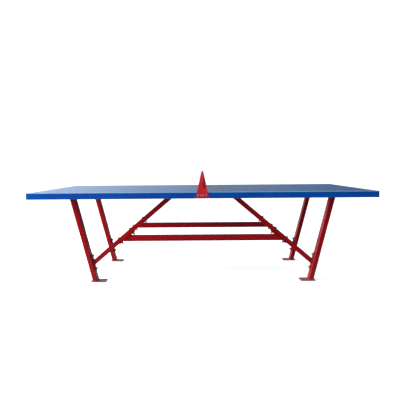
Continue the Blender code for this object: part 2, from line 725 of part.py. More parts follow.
def add_net(table):
    """Net, end brackets and their screws."""
    bracket = bracket_mesh()
    root = BRACKET_THICKNESS + TOUCH + RAIL_WIDTH / 2
    screw = screw_mesh("bracket_bolt", BRACKET_BOLT, root)
    table.add("net_panel", net_mesh(), "net")
    height = APRON_FOOT + BRACKET_BOLT_HEIGHT
    face = HALF_WIDTH + TOUCH + BRACKET_THICKNESS
    for row_name, turn in (("front", 0.0), ("rear", math.pi)):
        guide = table.empty(f"net_end_{row_name}", turned(turn))
        table.add(f"net_bracket_{row_name}", bracket, "net", guide)
        for number, place in enumerate(bracket_bolt_row(), start=1):
            seat = frame_of(Vector((place, -face, height)), Vector((1.0, 0.0, 0.0)),
                            Vector((0.0, 1.0, 0.0)))
            table.add(f"bracket_bolt_{row_name}_{number}", screw, "zinc", guide, seat)


def main():
    """Build the whole table."""
    clear_scene()
    table = Assembly()
    table.paint("board", 0.35, 0.0)
    table.paint("apron", 0.40, 0.0)
    table.paint("frame", 0.35, 0.0)
    table.paint("net", 0.40, 0.0)
    table.paint("foot", 0.50, 0.0)
    table.paint("zinc", 0.40, 1.0)
    truss = Truss()
    add_half_tops(table)
    add_trusses(table, truss)
    add_beams(table, truss)
    add_net(table)


main()
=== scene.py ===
"""Looks of a fixed outdoor table tennis table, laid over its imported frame.

The rails, boards, tubes and plates of the frame keep their shapes and are given their
finishes: baked powder coat, moulded resin board and zinc plate.  The fasteners, the punched
steel net and the weld beads are built here in full detail, at the places that the frame
gives.  Metres throughout: X along the table, Y across it to the rear, Z up.
"""
import json
import logging
import math
from dataclasses import dataclass, field
from enum import Enum
from typing import Any, Iterable, Optional, Sequence

import bmesh
import bpy
import numpy as np
from mathutils import Matrix, Vector


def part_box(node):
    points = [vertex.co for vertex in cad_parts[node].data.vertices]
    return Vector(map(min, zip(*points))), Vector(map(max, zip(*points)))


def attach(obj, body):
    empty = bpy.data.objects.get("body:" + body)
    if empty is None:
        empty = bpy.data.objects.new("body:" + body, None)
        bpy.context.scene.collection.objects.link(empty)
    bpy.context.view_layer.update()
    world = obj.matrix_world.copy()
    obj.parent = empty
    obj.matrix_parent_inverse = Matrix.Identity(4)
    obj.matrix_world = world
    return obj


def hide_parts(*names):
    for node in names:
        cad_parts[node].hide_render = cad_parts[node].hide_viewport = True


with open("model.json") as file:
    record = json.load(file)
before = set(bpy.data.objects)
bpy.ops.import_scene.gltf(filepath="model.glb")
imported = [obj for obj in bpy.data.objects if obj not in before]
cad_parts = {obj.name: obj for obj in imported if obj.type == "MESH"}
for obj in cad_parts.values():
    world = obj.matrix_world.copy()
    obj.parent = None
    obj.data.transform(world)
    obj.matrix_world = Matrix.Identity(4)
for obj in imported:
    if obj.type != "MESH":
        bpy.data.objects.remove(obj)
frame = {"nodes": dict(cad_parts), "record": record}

LOG = logging.getLogger("table")
BODY = "root"
MM = 0.001
UP = Vector((0.0, 0.0, 1.0))
CORNERS = [f"{row}_{side}" for row in ("front", "rear") for side in ("left", "right")]
# Nearly all of a noise lies between these two values.
NOISE_LOW = 0.35
NOISE_HIGH = 0.65
IDENTITY = Matrix.Identity(4)
# Two edges run the same way when the cosine between them is above this.
PARALLEL = 0.99999
# Three points of an outline make a corner when they span more square metres than this.
SMALLEST_CORNER = 1e-9
# Decimals of a metre to which two points are told apart when they are put in order.
PLACE_DIGITS = 6


# ---- colour and nodes ----
def linear(code: str) -> tuple[float, float, float, float]:
    """Turn an sRGB hex colour into the linear one that a shader takes.

    Args:
        code: Six hex digits after a hash.

    Returns:
        Linear red, green, blue and an alpha of one.
    """
    shares = [int(code[at:at + 2], 16) / 255 for at in (1, 3, 5)]
    red, green, blue = [s / 12.92 if s <= 0.04045 else ((s + 0.055) / 1.055) ** 2.4 for s in shares]
    return red, green, blue, 1.0


def per_metre(spacing_mm: float) -> float:
    """Scale of a pattern whose features lie a number of millimetres apart."""
    return 1.0 / (spacing_mm * MM)


def empty_material(name: str) -> bpy.types.Material:
    """Make a material that is built from nodes and has none yet."""
    material = bpy.data.materials.new(name)
    material.use_nodes = True
    material.node_tree.nodes.clear()
    return material


def add_node(tree: bpy.types.NodeTree, kind: str, inputs: Optional[dict[Any, Any]] = None,
             **settings: Any) -> bpy.types.Node:
    """Add a node, set it, and fill or link its inputs.

    Args:
        tree: Node tree that the node joins.
        kind: Blender's name for the type of node.
        inputs: What each input takes, by its name or number: a value, a socket, or a node,
            which stands for its first output.
        settings: Properties of the node itself.

    Returns:
        The new node.
    """
    node = tree.nodes.new(kind)
    for name, value in settings.items():
        setattr(node, name, value)
    for key, value in (inputs or {}).items():
        source = value.outputs[0] if isinstance(value, bpy.types.Node) else value
        if isinstance(source, bpy.types.NodeSocket):
            tree.links.new(source, node.inputs[key])
        else:
            node.inputs[key].default_value = source
    return node


# ---- finishes ----
@dataclass(frozen=True)
class PowderCoat:
    """Polyester powder sprayed on steel and baked.

    The eye gets one closed, even colour with a soft sheen, faint orange peel, broad clouds
    where the sun has bleached it, and pale grey near the ground: splashed-up dust, which on
    the foot plates also stands for a painted sheen of the light that their tops reflect.

    Attributes:
        colour: Colour of the clean film.
        faded: Colour where sun and weather have had longest.
        gloss: Roughness of the cleanest film.
        dull: Roughness of the dullest film.
        dust_and_sheen_top: Height in metres above which no pale grey lies; zero for none.
        dust_and_sheen_share: Share of pale grey at the ground: dust, on the foot plates also painted
            sheen.
        dust_and_sheen_colour: Colour of the dust and of the painted sheen.
        thinnest_dust: Share of that dust between the specks.
        dust_dulling: Roughness that full dust adds.
    """

    name: str
    colour: str
    faded: str
    gloss: float
    dull: float
    dust_and_sheen_top: float = 0.0
    dust_and_sheen_share: float = 0.0
    dust_and_sheen_colour: str = "#9a8a86"
    thinnest_dust: float = 0.3
    dust_dulling: float = 0.5
    ior: float = 1.5
    specular_level: float = 0.1
    cloud_mm: float = 260.0
    cloud_detail: float = 3.0
    handling_mm: float = 45.0
    handling_detail: float = 4.0
    speck_mm: float = 14.0
    speck_detail: float = 6.0
    speck_roughness: float = 0.7
    # Real orange peel is 1 to 2 mm across; it is drawn coarser so that it shows.
    peel_mm: float = 5.0
    peel_detail: float = 1.0
    peel_depth_mm: float = 0.05
    peel_strength: float = 0.12

    def make(self) -> bpy.types.Material:
        """Build the material.

        Returns:
            The material.
        """
        material = empty_material(self.name)
        tree = material.node_tree
        place = add_node(tree, "ShaderNodeTexCoord").outputs["Object"]
        clouds = add_node(tree, "ShaderNodeTexNoise", {
            "Vector": place, "Scale": per_metre(self.cloud_mm), "Detail": self.cloud_detail})
        fading = add_node(tree, "ShaderNodeMapRange", {
            "Value": clouds, "From Min": NOISE_LOW, "From Max": NOISE_HIGH})
        colour = add_node(tree, "ShaderNodeMix", {
            0: fading, 6: linear(self.colour), 7: linear(self.faded)}, data_type="RGBA").outputs[2]
        handling = add_node(tree, "ShaderNodeTexNoise", {
            "Vector": place, "Scale": per_metre(self.handling_mm),
            "Detail": self.handling_detail})
        roughness = add_node(tree, "ShaderNodeMapRange", {
            "Value": handling, "From Min": NOISE_LOW, "From Max": NOISE_HIGH,
            "To Min": self.gloss, "To Max": self.dull})
        # Pale grey towards the ground: dust, on the foot plates also a painted sheen of reflected light.
        if self.dust_and_sheen_top > 0.0:
            dust = self.dust(tree, place)
            colour = add_node(tree, "ShaderNodeMix", {
                0: dust, 6: colour, 7: linear(self.dust_and_sheen_colour)}, data_type="RGBA").outputs[2]
            roughness = add_node(tree, "ShaderNodeMath", {
                0: dust, 1: self.dust_dulling, 2: roughness}, operation="MULTIPLY_ADD")
        peel = add_node(tree, "ShaderNodeTexNoise", {
            "Vector": place, "Scale": per_metre(self.peel_mm), "Detail": self.peel_detail})
        relief = add_node(tree, "ShaderNodeBump", {
            "Height": peel, "Distance": self.peel_depth_mm * MM, "Strength": self.peel_strength})
        shader = add_node(tree, "ShaderNodeBsdfPrincipled", {
            "Base Color": colour, "Roughness": roughness, "IOR": self.ior,
            "Specular IOR Level": self.specular_level, "Normal": relief})
        add_node(tree, "ShaderNodeOutputMaterial", {"Surface": shader})
        return material

    def dust(self, tree: bpy.types.NodeTree, place: bpy.types.NodeSocket) -> bpy.types.Node:
        """Add the pale grey near the ground: dust that rain splashes up, on the foot plates also a
        painted sheen of reflected light.

        Args:
            tree: Node tree of the material.
            place: Position on the table, in metres.

        Returns:
            Node with the share of dust and painted sheen at each point.
        """
        height = add_node(tree, "ShaderNodeSeparateXYZ", {0: place}).outputs["Z"]
        low_down = add_node(tree, "ShaderNodeMapRange", {
            "Value": height, "From Min": 0.0, "From Max": self.dust_and_sheen_top,
            "To Min": self.dust_and_sheen_share, "To Max": 0.0})
        specks = add_node(tree, "ShaderNodeTexNoise", {
            "Vector": place, "Scale": per_metre(self.speck_mm), "Detail": self.speck_detail,
            "Roughness": self.speck_roughness})
        cover = add_node(tree, "ShaderNodeMapRange", {
            "Value": specks, "From Min": NOISE_LOW, "From Max": NOISE_HIGH,
            "To Min": self.thinnest_dust, "To Max": 1.0})
        return add_node(tree, "ShaderNodeMath", {0: low_down, 1: cover}, operation="MULTIPLY")


@dataclass(frozen=True)
class ResinBoard:
    """Weatherproof melamine resin board, pressed smooth between steel plates.

    The eye gets an even mid blue under a clear gloss that mirrors the horizon at a low
    angle, thin scuffs that break it, and the white playing lines.

    Attributes:
        half_length: Half the length of the playing surface, in metres.
        half_width: Half its width.
        height: Its height.
    """

    half_length: float
    half_width: float
    height: float
    name: str = "blue_resin_board"
    colour: str = "#1a78be"
    faded: str = "#207fc6"
    line: str = "#eef3f8"
    side_line: float = 20.0 * MM
    centre_line: float = 3.0 * MM
    print_depth: float = 0.4 * MM
    ior: float = 1.5
    gloss: float = 0.11
    scuffed: float = 0.17
    cloud_mm: float = 420.0
    cloud_detail: float = 2.0
    scuff_mm: float = 60.0
    scuff_detail: float = 5.0
    scuff_roughness: float = 0.6
    # The pressed grain is finer than half a millimetre; it is drawn coarser so that it shows.
    grain_mm: float = 3.0
    grain_detail: float = 2.0
    grain_depth_mm: float = 0.02
    grain_strength: float = 0.01

    def make(self) -> bpy.types.Material:
        """Build the material.

        Returns:
            The material.
        """
        material = empty_material(self.name)
        tree = material.node_tree
        place = add_node(tree, "ShaderNodeTexCoord").outputs["Object"]
        clouds = add_node(tree, "ShaderNodeTexNoise", {
            "Vector": place, "Scale": per_metre(self.cloud_mm), "Detail": self.cloud_detail})
        fading = add_node(tree, "ShaderNodeMapRange", {
            "Value": clouds, "From Min": NOISE_LOW, "From Max": NOISE_HIGH})
        board = add_node(tree, "ShaderNodeMix", {
            0: fading, 6: linear(self.colour), 7: linear(self.faded)}, data_type="RGBA").outputs[2]
        printed = add_node(tree, "ShaderNodeMix", {
            0: self.lines(tree, place), 6: board, 7: linear(self.line)}, data_type="RGBA").outputs[2]
        scuffs = add_node(tree, "ShaderNodeTexNoise", {
            "Vector": place, "Scale": per_metre(self.scuff_mm), "Detail": self.scuff_detail,
            "Roughness": self.scuff_roughness})
        roughness = add_node(tree, "ShaderNodeMapRange", {
            "Value": scuffs, "From Min": NOISE_LOW, "From Max": NOISE_HIGH,
            "To Min": self.gloss, "To Max": self.scuffed})
        grain = add_node(tree, "ShaderNodeTexNoise", {
            "Vector": place, "Scale": per_metre(self.grain_mm), "Detail": self.grain_detail})
        relief = add_node(tree, "ShaderNodeBump", {
            "Height": grain, "Distance": self.grain_depth_mm * MM, "Strength": self.grain_strength})
        shader = add_node(tree, "ShaderNodeBsdfPrincipled", {
            "Base Color": printed, "Roughness": roughness, "IOR": self.ior, "Normal": relief})
        add_node(tree, "ShaderNodeOutputMaterial", {"Surface": shader})
        return material

    def lines(self, tree: bpy.types.NodeTree, place: bpy.types.NodeSocket) -> bpy.types.Node:
        """Add the pattern of the side lines, end lines and centre line.

        Args:
            tree: Node tree of the material.
            place: Position on the table, in metres.

        Returns:
            Node that is one on a line of the top face and zero elsewhere.
        """
        split = add_node(tree, "ShaderNodeSeparateXYZ", {0: place})
        along = add_node(tree, "ShaderNodeMath", {0: split.outputs["X"]}, operation="ABSOLUTE")
        across = add_node(tree, "ShaderNodeMath", {0: split.outputs["Y"]}, operation="ABSOLUTE")
        end = add_node(tree, "ShaderNodeMath", {
            0: along, 1: self.half_length - self.side_line}, operation="GREATER_THAN")
        side = add_node(tree, "ShaderNodeMath", {
            0: across, 1: self.half_width - self.side_line}, operation="GREATER_THAN")
        centre = add_node(tree, "ShaderNodeMath", {
            0: across, 1: self.centre_line / 2}, operation="LESS_THAN")
        rim = add_node(tree, "ShaderNodeMath", {0: end, 1: side}, operation="MAXIMUM")
        line = add_node(tree, "ShaderNodeMath", {0: rim, 1: centre}, operation="MAXIMUM")
        top = add_node(tree, "ShaderNodeMath", {
            0: split.outputs["Z"], 1: self.height - self.print_depth}, operation="GREATER_THAN")
        return add_node(tree, "ShaderNodeMath", {0: line, 1: top}, operation="MULTIPLY")


@dataclass(frozen=True)
class ZincPlate:
    """Zinc plated steel of bolts, nuts and washers, left outdoors.

    The eye gets a dull silver metal with faint clouds, and a fine grain that scatters the
    highlights.
    """

    name: str = "zinc_plated_steel"
    colour: str = "#a2a5a9"
    cloudy: str = "#7e8286"
    bright: float = 0.28
    dull: float = 0.46
    cloud_mm: float = 6.0
    cloud_detail: float = 3.0
    rub_mm: float = 3.0
    rub_detail: float = 3.0
    grain_mm: float = 1.2
    grain_detail: float = 2.0
    grain_depth_mm: float = 0.02
    grain_strength: float = 0.3

    def make(self) -> bpy.types.Material:
        """Build the material.

        Returns:
            The material.
        """
        material = empty_material(self.name)
        tree = material.node_tree
        place = add_node(tree, "ShaderNodeTexCoord").outputs["Object"]
        clouds = add_node(tree, "ShaderNodeTexNoise", {
            "Vector": place, "Scale": per_metre(self.cloud_mm), "Detail": self.cloud_detail})
        clouding = add_node(tree, "ShaderNodeMapRange", {
            "Value": clouds, "From Min": NOISE_LOW, "From Max": NOISE_HIGH})
        colour = add_node(tree, "ShaderNodeMix", {
            0: clouding, 6: linear(self.colour), 7: linear(self.cloudy)}, data_type="RGBA").outputs[2]
        rubbing = add_node(tree, "ShaderNodeTexNoise", {
            "Vector": place, "Scale": per_metre(self.rub_mm), "Detail": self.rub_detail})
        roughness = add_node(tree, "ShaderNodeMapRange", {
            "Value": rubbing, "From Min": NOISE_LOW, "From Max": NOISE_HIGH,
            "To Min": self.bright, "To Max": self.dull})
        grain = add_node(tree, "ShaderNodeTexNoise", {
            "Vector": place, "Scale": per_metre(self.grain_mm), "Detail": self.grain_detail})
        relief = add_node(tree, "ShaderNodeBump", {
            "Height": grain, "Distance": self.grain_depth_mm * MM, "Strength": self.grain_strength})
        shader = add_node(tree, "ShaderNodeBsdfPrincipled", {
            "Base Color": colour, "Metallic": 1.0, "Roughness": roughness, "Normal": relief})
        add_node(tree, "ShaderNodeOutputMaterial", {"Surface": shader})
        return material


@dataclass(frozen=True)
class StudioFloor:
    """Matt white studio floor, brighter to the eye than in the light that it gives back."""

    name: str = "studio_floor"
    colour: str = "#f6f6f6"
    bounce: str = "#b4b4b4"
    glow: float = 0.6
    roughness: float = 0.9
    specular_level: float = 0.1

    def make(self) -> bpy.types.Material:
        """Build the material.

        Returns:
            The material.
        """
        material = empty_material(self.name)
        tree = material.node_tree
        seen = add_node(tree, "ShaderNodeLightPath").outputs["Is Camera Ray"]
        colour = add_node(tree, "ShaderNodeMix", {
            0: seen, 6: linear(self.bounce), 7: linear(self.colour)}, data_type="RGBA").outputs[2]
        glow = add_node(tree, "ShaderNodeMath", {0: seen, 1: self.glow}, operation="MULTIPLY")
        shader = add_node(tree, "ShaderNodeBsdfPrincipled", {
            "Base Color": colour, "Roughness": self.roughness,
            "Specular IOR Level": self.specular_level,
            "Emission Color": linear("#ffffff"), "Emission Strength": glow})
        add_node(tree, "ShaderNodeOutputMaterial", {"Surface": shader})
        return material


class Finish(Enum):
    """The finishes of the table, each with the record's slot that it belongs to."""

    BOARD = "board"
    APRON = "apron"
    FRAME = "frame"
    NET = "net"
    FOOT = "foot"
    ZINC = "zinc"


class Paintshop:
    """Makes each finish once and puts it on pieces."""

    def __init__(self) -> None:
        """Mix every finish, with the lines placed on the board that the frame gives."""
        half_length, half_width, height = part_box("playing_board_right")[1]
        recipes = {
            Finish.BOARD: ResinBoard(half_length, half_width, height),
            Finish.APRON: PowderCoat("apron_blue_powder_coat", "#024297", "#04499d",
                                     gloss=0.25, dull=0.38),
            Finish.FRAME: PowderCoat("frame_red_powder_coat", "#940710", "#9c0a14",
                                     gloss=0.18, dull=0.30, dust_and_sheen_top=0.30, dust_and_sheen_share=0.06),
            Finish.NET: PowderCoat("net_red_powder_coat", "#c01e28", "#c82832",
                                   gloss=0.28, dull=0.40),
            # The foot plates' strong pale grey is dust and also a painted sheen of the light off their
            # tops.
            Finish.FOOT: PowderCoat("foot_red_powder_coat", "#8c1c24", "#96282f", gloss=0.30,
                                    dull=0.45, dust_and_sheen_top=0.05, dust_and_sheen_share=0.78, dust_and_sheen_colour="#b4a8a8"),
            Finish.ZINC: ZincPlate(),
        }
        self.made = {finish: recipe.make() for finish, recipe in recipes.items()}

    def dress(self, piece: bpy.types.Object, finish: Finish) -> None:
        """Give a whole piece one finish.

        Args:
            piece: The piece.
            finish: Its finish.
        """
        material = self.made[finish]
        if not piece.material_slots:
            piece.data.materials.append(material)
        for slot in piece.material_slots:
            slot.material = material


@dataclass
class Bench:
    """Puts finished pieces in the scene."""

    shop: Paintshop

    def put(self, name: str, mesh: bpy.types.Mesh, finish: Finish, stand: Matrix = IDENTITY,
            stands_for: Optional[str] = None) -> bpy.types.Object:
        """Put a piece on the table's body, with its finish.

        Args:
            name: Name of the piece.
            mesh: Its mesh.
            finish: Its finish.
            stand: Where it stands and how it is turned.
            stands_for: The frame node that it stands in for, if there is one.

        Returns:
            The piece.
        """
        piece = bpy.data.objects.new(name, mesh)
        bpy.context.scene.collection.objects.link(piece)
        piece.matrix_world = stand
        self.shop.dress(piece, finish)
        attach(piece, BODY)
        if stands_for:
            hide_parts(stands_for)
        return piece


# ---- mesh work ----
Ring = list[Vector]


def ring(radius: float, level: float, sides: int) -> Ring:
    """Work out a level ring of points about Z."""
    turns = [2 * math.pi * at / sides for at in range(sides)]
    return [Vector((radius * math.cos(turn), radius * math.sin(turn), level)) for turn in turns]


def skin(shape: bmesh.types.BMesh, rings: Sequence[Ring], looped: bool = False) -> None:
    """Lay faces between rings of equal count and close both ends.

    Args:
        shape: Mesh that the faces join.
        rings: Rings in order.
        looped: True where the last ring joins the first and there are no ends.
    """
    rows = [[shape.verts.new(point) for point in points] for points in rings]
    pairs = list(zip(rows, rows[1:]))
    if looped:
        pairs.append((rows[-1], rows[0]))
    for low, high in pairs:
        for at in range(len(low)):
            after = (at + 1) % len(low)
            shape.faces.new((low[at], low[after], high[after], high[at]))
    if not looped:
        shape.faces.new(list(reversed(rows[0])))
        shape.faces.new(rows[-1])


def finish_mesh(shape: bmesh.types.BMesh, name: str, crease: float = 35.0) -> bpy.types.Mesh:
    """Turn a shape into mesh data with its faces turned out and its creases kept.

    Args:
        shape: The shape, which is freed.
        name: Name of the mesh data.
        crease: Angle in degrees from which an edge stays sharp.

    Returns:
        The mesh data.
    """
    bmesh.ops.recalc_face_normals(shape, faces=shape.faces)
    mesh = bpy.data.meshes.new(name)
    shape.to_mesh(mesh)
    shape.free()
    mesh.shade_smooth()
    mesh.set_sharp_from_angle(angle=math.radians(crease))
    return mesh


def in_order(shape: bmesh.types.BMesh) -> bmesh.types.BMesh:
    """Put points and faces in the order of their places, which extruding leaves to chance.

    Args:
        shape: The shape, which is freed.

    Returns:
        The same shape in an order that doesn't vary.
    """
    bmesh.ops.recalc_face_normals(shape, faces=shape.faces)
    verts = sorted(shape.verts, key=lambda vert: vert.co[:])
    for number, vert in enumerate(verts):
        vert.index = number
    loops = []
    for face in shape.faces:
        numbers = [vert.index for vert in face.verts]
        first = numbers.index(min(numbers))
        loops.append(numbers[first:] + numbers[:first])
    ordered = bmesh.new()
    points = [ordered.verts.new(vert.co) for vert in verts]
    for numbers in sorted(loops):
        ordered.faces.new([points[number] for number in numbers])
    shape.free()
    return ordered


def node_points(node: str) -> np.ndarray:
    """List every point of a frame node, one row each."""
    mesh = frame["nodes"][node].data
    points = np.empty(len(mesh.vertices) * 3)
    mesh.vertices.foreach_get("co", points)
    return points.reshape(-1, 3)


def hull_order(flat: np.ndarray) -> list[int]:
    """Go round the convex outline of a flat set of points.

    Args:
        flat: The points, one row each.

    Returns:
        Numbers of the points on the outline, in order.
    """
    order = sorted(range(len(flat)), key=lambda at: tuple(np.round(flat[at], PLACE_DIGITS)))

    def half(numbers: Iterable[int]) -> list[int]:
        """Walk one side of the outline.

        Args:
            numbers: Numbers of the points in the order of the walk.

        Returns:
            The numbers that stay on the outline, without the last.
        """
        kept: list[int] = []
        for number in numbers:
            while len(kept) > 1:
                first, last = flat[kept[-2]], flat[kept[-1]]
                if np.cross(last - first, flat[number] - last) > SMALLEST_CORNER:
                    break
                kept.pop()
            kept.append(number)
        return kept[:-1]

    return half(order) + half(reversed(order))


def tube_ends(node: str, shortest: float) -> list[Ring]:
    """Find the outlines of the two ends of the tube in a frame node.

    Args:
        node: Name of the frame node.
        shortest: Least length of the edges that run along the tube, in metres.

    Returns:
        The outer outline at each end, as points in order.
    """
    points = node_points(node)
    edges = [tuple(edge.vertices) for edge in frame["nodes"][node].data.edges]
    spans = np.array([points[end] - points[start] for start, end in edges])
    lengths = np.linalg.norm(spans, axis=1)
    way = spans[lengths.argmax()] / lengths.max()
    runs = [edge for edge, span, length in zip(edges, spans, lengths)
            if length > shortest and abs(span @ way) > PARALLEL * length]
    across = Vector(way).orthogonal().normalized()
    third = Vector(way).cross(across)
    ends: list[Ring] = []
    for side in (-1.0, 1.0):
        picked = {max(edge, key=lambda at: side * float(points[at] @ way)) for edge in runs}
        loop = [Vector(points[at]) for at in picked]
        flat = np.array([(point.dot(across), point.dot(third)) for point in loop])
        ends.append([loop[at] for at in hull_order(flat)])
    return ends


# ---- frame ----
@dataclass
class CarriedPieces:
    """The frame's own solids, which keep their shape and take their finish."""

    bench: Bench

    def build(self) -> list[bpy.types.Object]:
        """Give each node of the frame the finish of its slot in the record.

        Returns:
            The nodes.
        """
        nodes = []
        for part in frame["record"]["subparts"]:
            node = frame["nodes"][part["node"]]
            self.bench.shop.dress(node, Finish(part["material_slot"]))
            nodes.append(node)
        return nodes


# ---- fasteners ----
class Kind(Enum):
    """How a fastener is made up."""

    STUD = "stud with a washer and nut at its tip"
    THROUGH = "bolt with a head at its root and a washer and nut at its tip"
    SCREW = "screw with a head at its root"


@dataclass(frozen=True)
class Thread:
    """Sizes of one metric thread and of what goes on it, in metres.

    Attributes:
        tail: Length of thread that stands out past the nut.
    """

    diameter: float
    pitch: float
    across_flats: float
    head: float
    nut: float
    washer: float
    washer_radius: float
    tail: float = 7.0 * MM


M8 = Thread(8.0 * MM, 1.25 * MM, 13.6 * MM, 5.12 * MM, 6.4 * MM, 1.6 * MM, 8.0 * MM)
M10 = Thread(10.0 * MM, 1.5 * MM, 17.0 * MM, 6.4 * MM, 8.0 * MM, 2.0 * MM, 10.0 * MM)


@dataclass
class Fastener:
    """One fastener drawn along Z, its root at zero and its tip at its length.

    Attributes:
        chamfer: Fall of the turned off corners, as a slope.
        crown_share: Radius of the crown's flat face, of half the width across flats.
        rim_ease: Share of a washer's thickness that its rims are eased by.
        point_start: Share of the point's length that the last turn takes.
        point_share: Radius of the tip, of the crest's.
    """

    thread: Thread
    kind: Kind
    length: float
    sides: int = 24
    chamfer: float = math.tan(math.radians(30.0))
    crown_share: float = 0.94
    rim_ease: float = 0.2
    thread_depth: float = 0.55
    # The root ends, and the crest starts and ends, at these shares of a turn.
    root_end: float = 0.15
    crest_start: float = 0.45
    crest_end: float = 0.60
    point: float = 1.0 * MM
    point_start: float = 0.3
    point_share: float = 0.72

    def mesh(self, name: str) -> bpy.types.Mesh:
        """Build the whole fastener.

        Args:
            name: Name of the mesh data.

        Returns:
            The mesh data.
        """
        shape = bmesh.new()
        start = 0.0
        if self.kind is not Kind.STUD:
            self.hexagon(shape, self.thread.head, 0.0)
            self.disc(shape, self.thread.head)
            start = self.thread.head / 2
        if self.kind is not Kind.SCREW:
            seat = self.length - self.thread.tail - self.thread.nut
            self.hexagon(shape, seat, seat + self.thread.nut)
            self.disc(shape, seat - self.thread.washer)
        self.shank(shape, start)
        return finish_mesh(shape, name)

    def hexagon(self, shape: bmesh.types.BMesh, seat: float, crown: float) -> None:
        """Add a head or nut, its corners turned off at the crown.

        Args:
            shape: Mesh that it joins.
            seat: Level of the flat face that bears on the washer.
            crown: Level of the chamfered face.
        """
        way = math.copysign(1.0, crown - seat)
        inner = self.thread.across_flats / 2
        base, shoulder = [], []
        for at in range(self.sides):
            turn = 2 * math.pi * at / self.sides
            off_flat = (turn + math.pi / 6) % (math.pi / 3) - math.pi / 6
            reach = inner / math.cos(off_flat)
            drop = (reach - self.crown_share * inner) * self.chamfer
            base.append(Vector((reach * math.cos(turn), reach * math.sin(turn), seat)))
            shoulder.append(Vector((reach * math.cos(turn), reach * math.sin(turn), crown - way * drop)))
        skin(shape, [base, shoulder, ring(self.crown_share * inner, crown, self.sides)])

    def disc(self, shape: bmesh.types.BMesh, low: float) -> None:
        """Add a washer with eased rims from its lower level up.

        Args:
            shape: Mesh that it joins.
            low: Its lower level.
        """
        ease = self.rim_ease * self.thread.washer
        wide = self.thread.washer_radius
        high = low + self.thread.washer
        skin(shape, [ring(wide - ease, low, self.sides), ring(wide, low + ease, self.sides),
                     ring(wide, high - ease, self.sides), ring(wide - ease, high, self.sides)])

    def shank(self, shape: bmesh.types.BMesh, start: float) -> None:
        """Add the threaded shank, its turns drawn as rings, with a pointed tip.

        Args:
            shape: Mesh that it joins.
            start: Level that it starts from.
        """
        pitch = self.thread.pitch
        crest = self.thread.diameter / 2
        root = crest - self.thread_depth * pitch
        turn = ((root, self.root_end), (crest, self.crest_start), (crest, self.crest_end))
        rings = [ring(root, start, self.sides)]
        level = start
        while level + pitch < self.length - self.point:
            rings += [ring(radius, level + share * pitch, self.sides) for radius, share in turn]
            level += pitch
        rings.append(ring(root, level, self.sides))
        rings.append(ring(crest, level + self.point_start * self.point, self.sides))
        rings.append(ring(self.point_share * crest, self.length, self.sides))
        skin(shape, rings)


@dataclass
class FastenerSet:
    """Every fastener of the table.

    Attributes:
        plate_edge: Distance from a plate's end to its nearest screw.
        length_digits: Decimals of a metre to which two lengths count as the same.
    """

    bench: Bench
    gap: float = 0.3 * MM
    leg_plate: float = 160.0 * MM
    brace_plate: float = 150.0 * MM
    plate_edge: float = 20.0 * MM
    plate_thickness: float = 6.0 * MM
    plate_screw: float = 22.5 * MM
    screws_per_bracket: int = 4
    length_digits: int = 5
    meshes: dict[tuple[Any, ...], bpy.types.Mesh] = field(default_factory=dict)

    def build(self) -> list[bpy.types.Object]:
        """Stand a detailed fastener in each plain one's place, and add the plate screws.

        Returns:
            The fasteners.
        """
        pieces = []
        for corner in CORNERS:
            for level in ("upper", "lower"):
                pieces.append(self.stand_in(f"leg_stud_{level}_{corner}", M10, Kind.STUD, UP))
                pieces.append(self.stand_in(f"beam_bolt_{level}_{corner}", M10, Kind.THROUGH, -UP))
            pieces += self.plate_screws(f"leg_{corner}", self.leg_plate, outermost=True)
            pieces += self.plate_screws(f"brace_{corner}", self.brace_plate, outermost=False)
        for row, inward in (("front", 1.0), ("rear", -1.0)):
            for number in range(1, self.screws_per_bracket + 1):
                pieces.append(self.stand_in(f"bracket_bolt_{row}_{number}", M8, Kind.SCREW,
                                            Vector((0.0, inward, 0.0))))
        return pieces

    def shared(self, thread: Thread, kind: Kind, length: float) -> bpy.types.Mesh:
        """Fetch the mesh of a fastener, made once for each size and kind.

        Args:
            thread: Its thread.
            kind: How it is made up.
            length: Its length over all.

        Returns:
            The mesh data.
        """
        key = (thread, kind, round(length, self.length_digits))
        if key not in self.meshes:
            name = f"{kind.name.lower()}_{round(thread.diameter / MM)}mm"
            self.meshes[key] = Fastener(thread, kind, length).mesh(name)
        return self.meshes[key]

    def stand_in(self, node: str, thread: Thread, kind: Kind, hint: Vector) -> bpy.types.Object:
        """Replace one plain fastener.

        Args:
            node: Name of the frame node.
            thread: Its thread.
            kind: How it is made up.
            hint: Rough direction from its root to its tip.

        Returns:
            The detailed fastener.
        """
        points = node_points(node)
        _, _, axes = np.linalg.svd(points - points.mean(axis=0), full_matrices=False)
        if Vector(axes[0]).dot(hint) < 0.0:
            axes[0] *= -1.0
        reach = points @ axes.T
        low, high = reach.min(axis=0), reach.max(axis=0)
        root = axes.T @ np.array((low[0], (low[1] + high[1]) / 2, (low[2] + high[2]) / 2))
        way = Vector(axes[0])
        stand = Matrix.Translation(root) @ UP.rotation_difference(way).to_matrix().to_4x4()
        mesh = self.shared(thread, kind, float(high[0] - low[0]))
        return self.bench.put(f"{node}_threaded", mesh, Finish.ZINC, stand, stands_for=node)

    def plate_screws(self, node: str, length: float, outermost: bool) -> list[bpy.types.Object]:
        """Add the screws that hold a leg's or a brace's head plate to the bearer above.

        Args:
            node: Name of the frame node that the plate belongs to.
            length: Length of the plate.
            outermost: True where the plate is at the end of the node that is farther out.

        Returns:
            The screws.
        """
        low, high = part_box(node)
        side = math.copysign(1.0, low[0])
        near, far = sorted((abs(low[0]), abs(high[0])))
        edge = far - length if outermost else near
        across = (low[1] + high[1]) / 2
        level = high[2] - self.plate_thickness - self.gap - M8.washer - M8.head
        piece, _, corner = node.partition("_")
        screws = []
        for number, off in enumerate((self.plate_edge, length - self.plate_edge), start=1):
            stand = Matrix.Translation((side * (edge + off), across, level))
            mesh = self.shared(M8, Kind.SCREW, self.plate_screw)
            screws.append(self.bench.put(f"{piece}_plate_bolt_{corner}_{number}", mesh,
                                         Finish.ZINC, stand))
        return screws


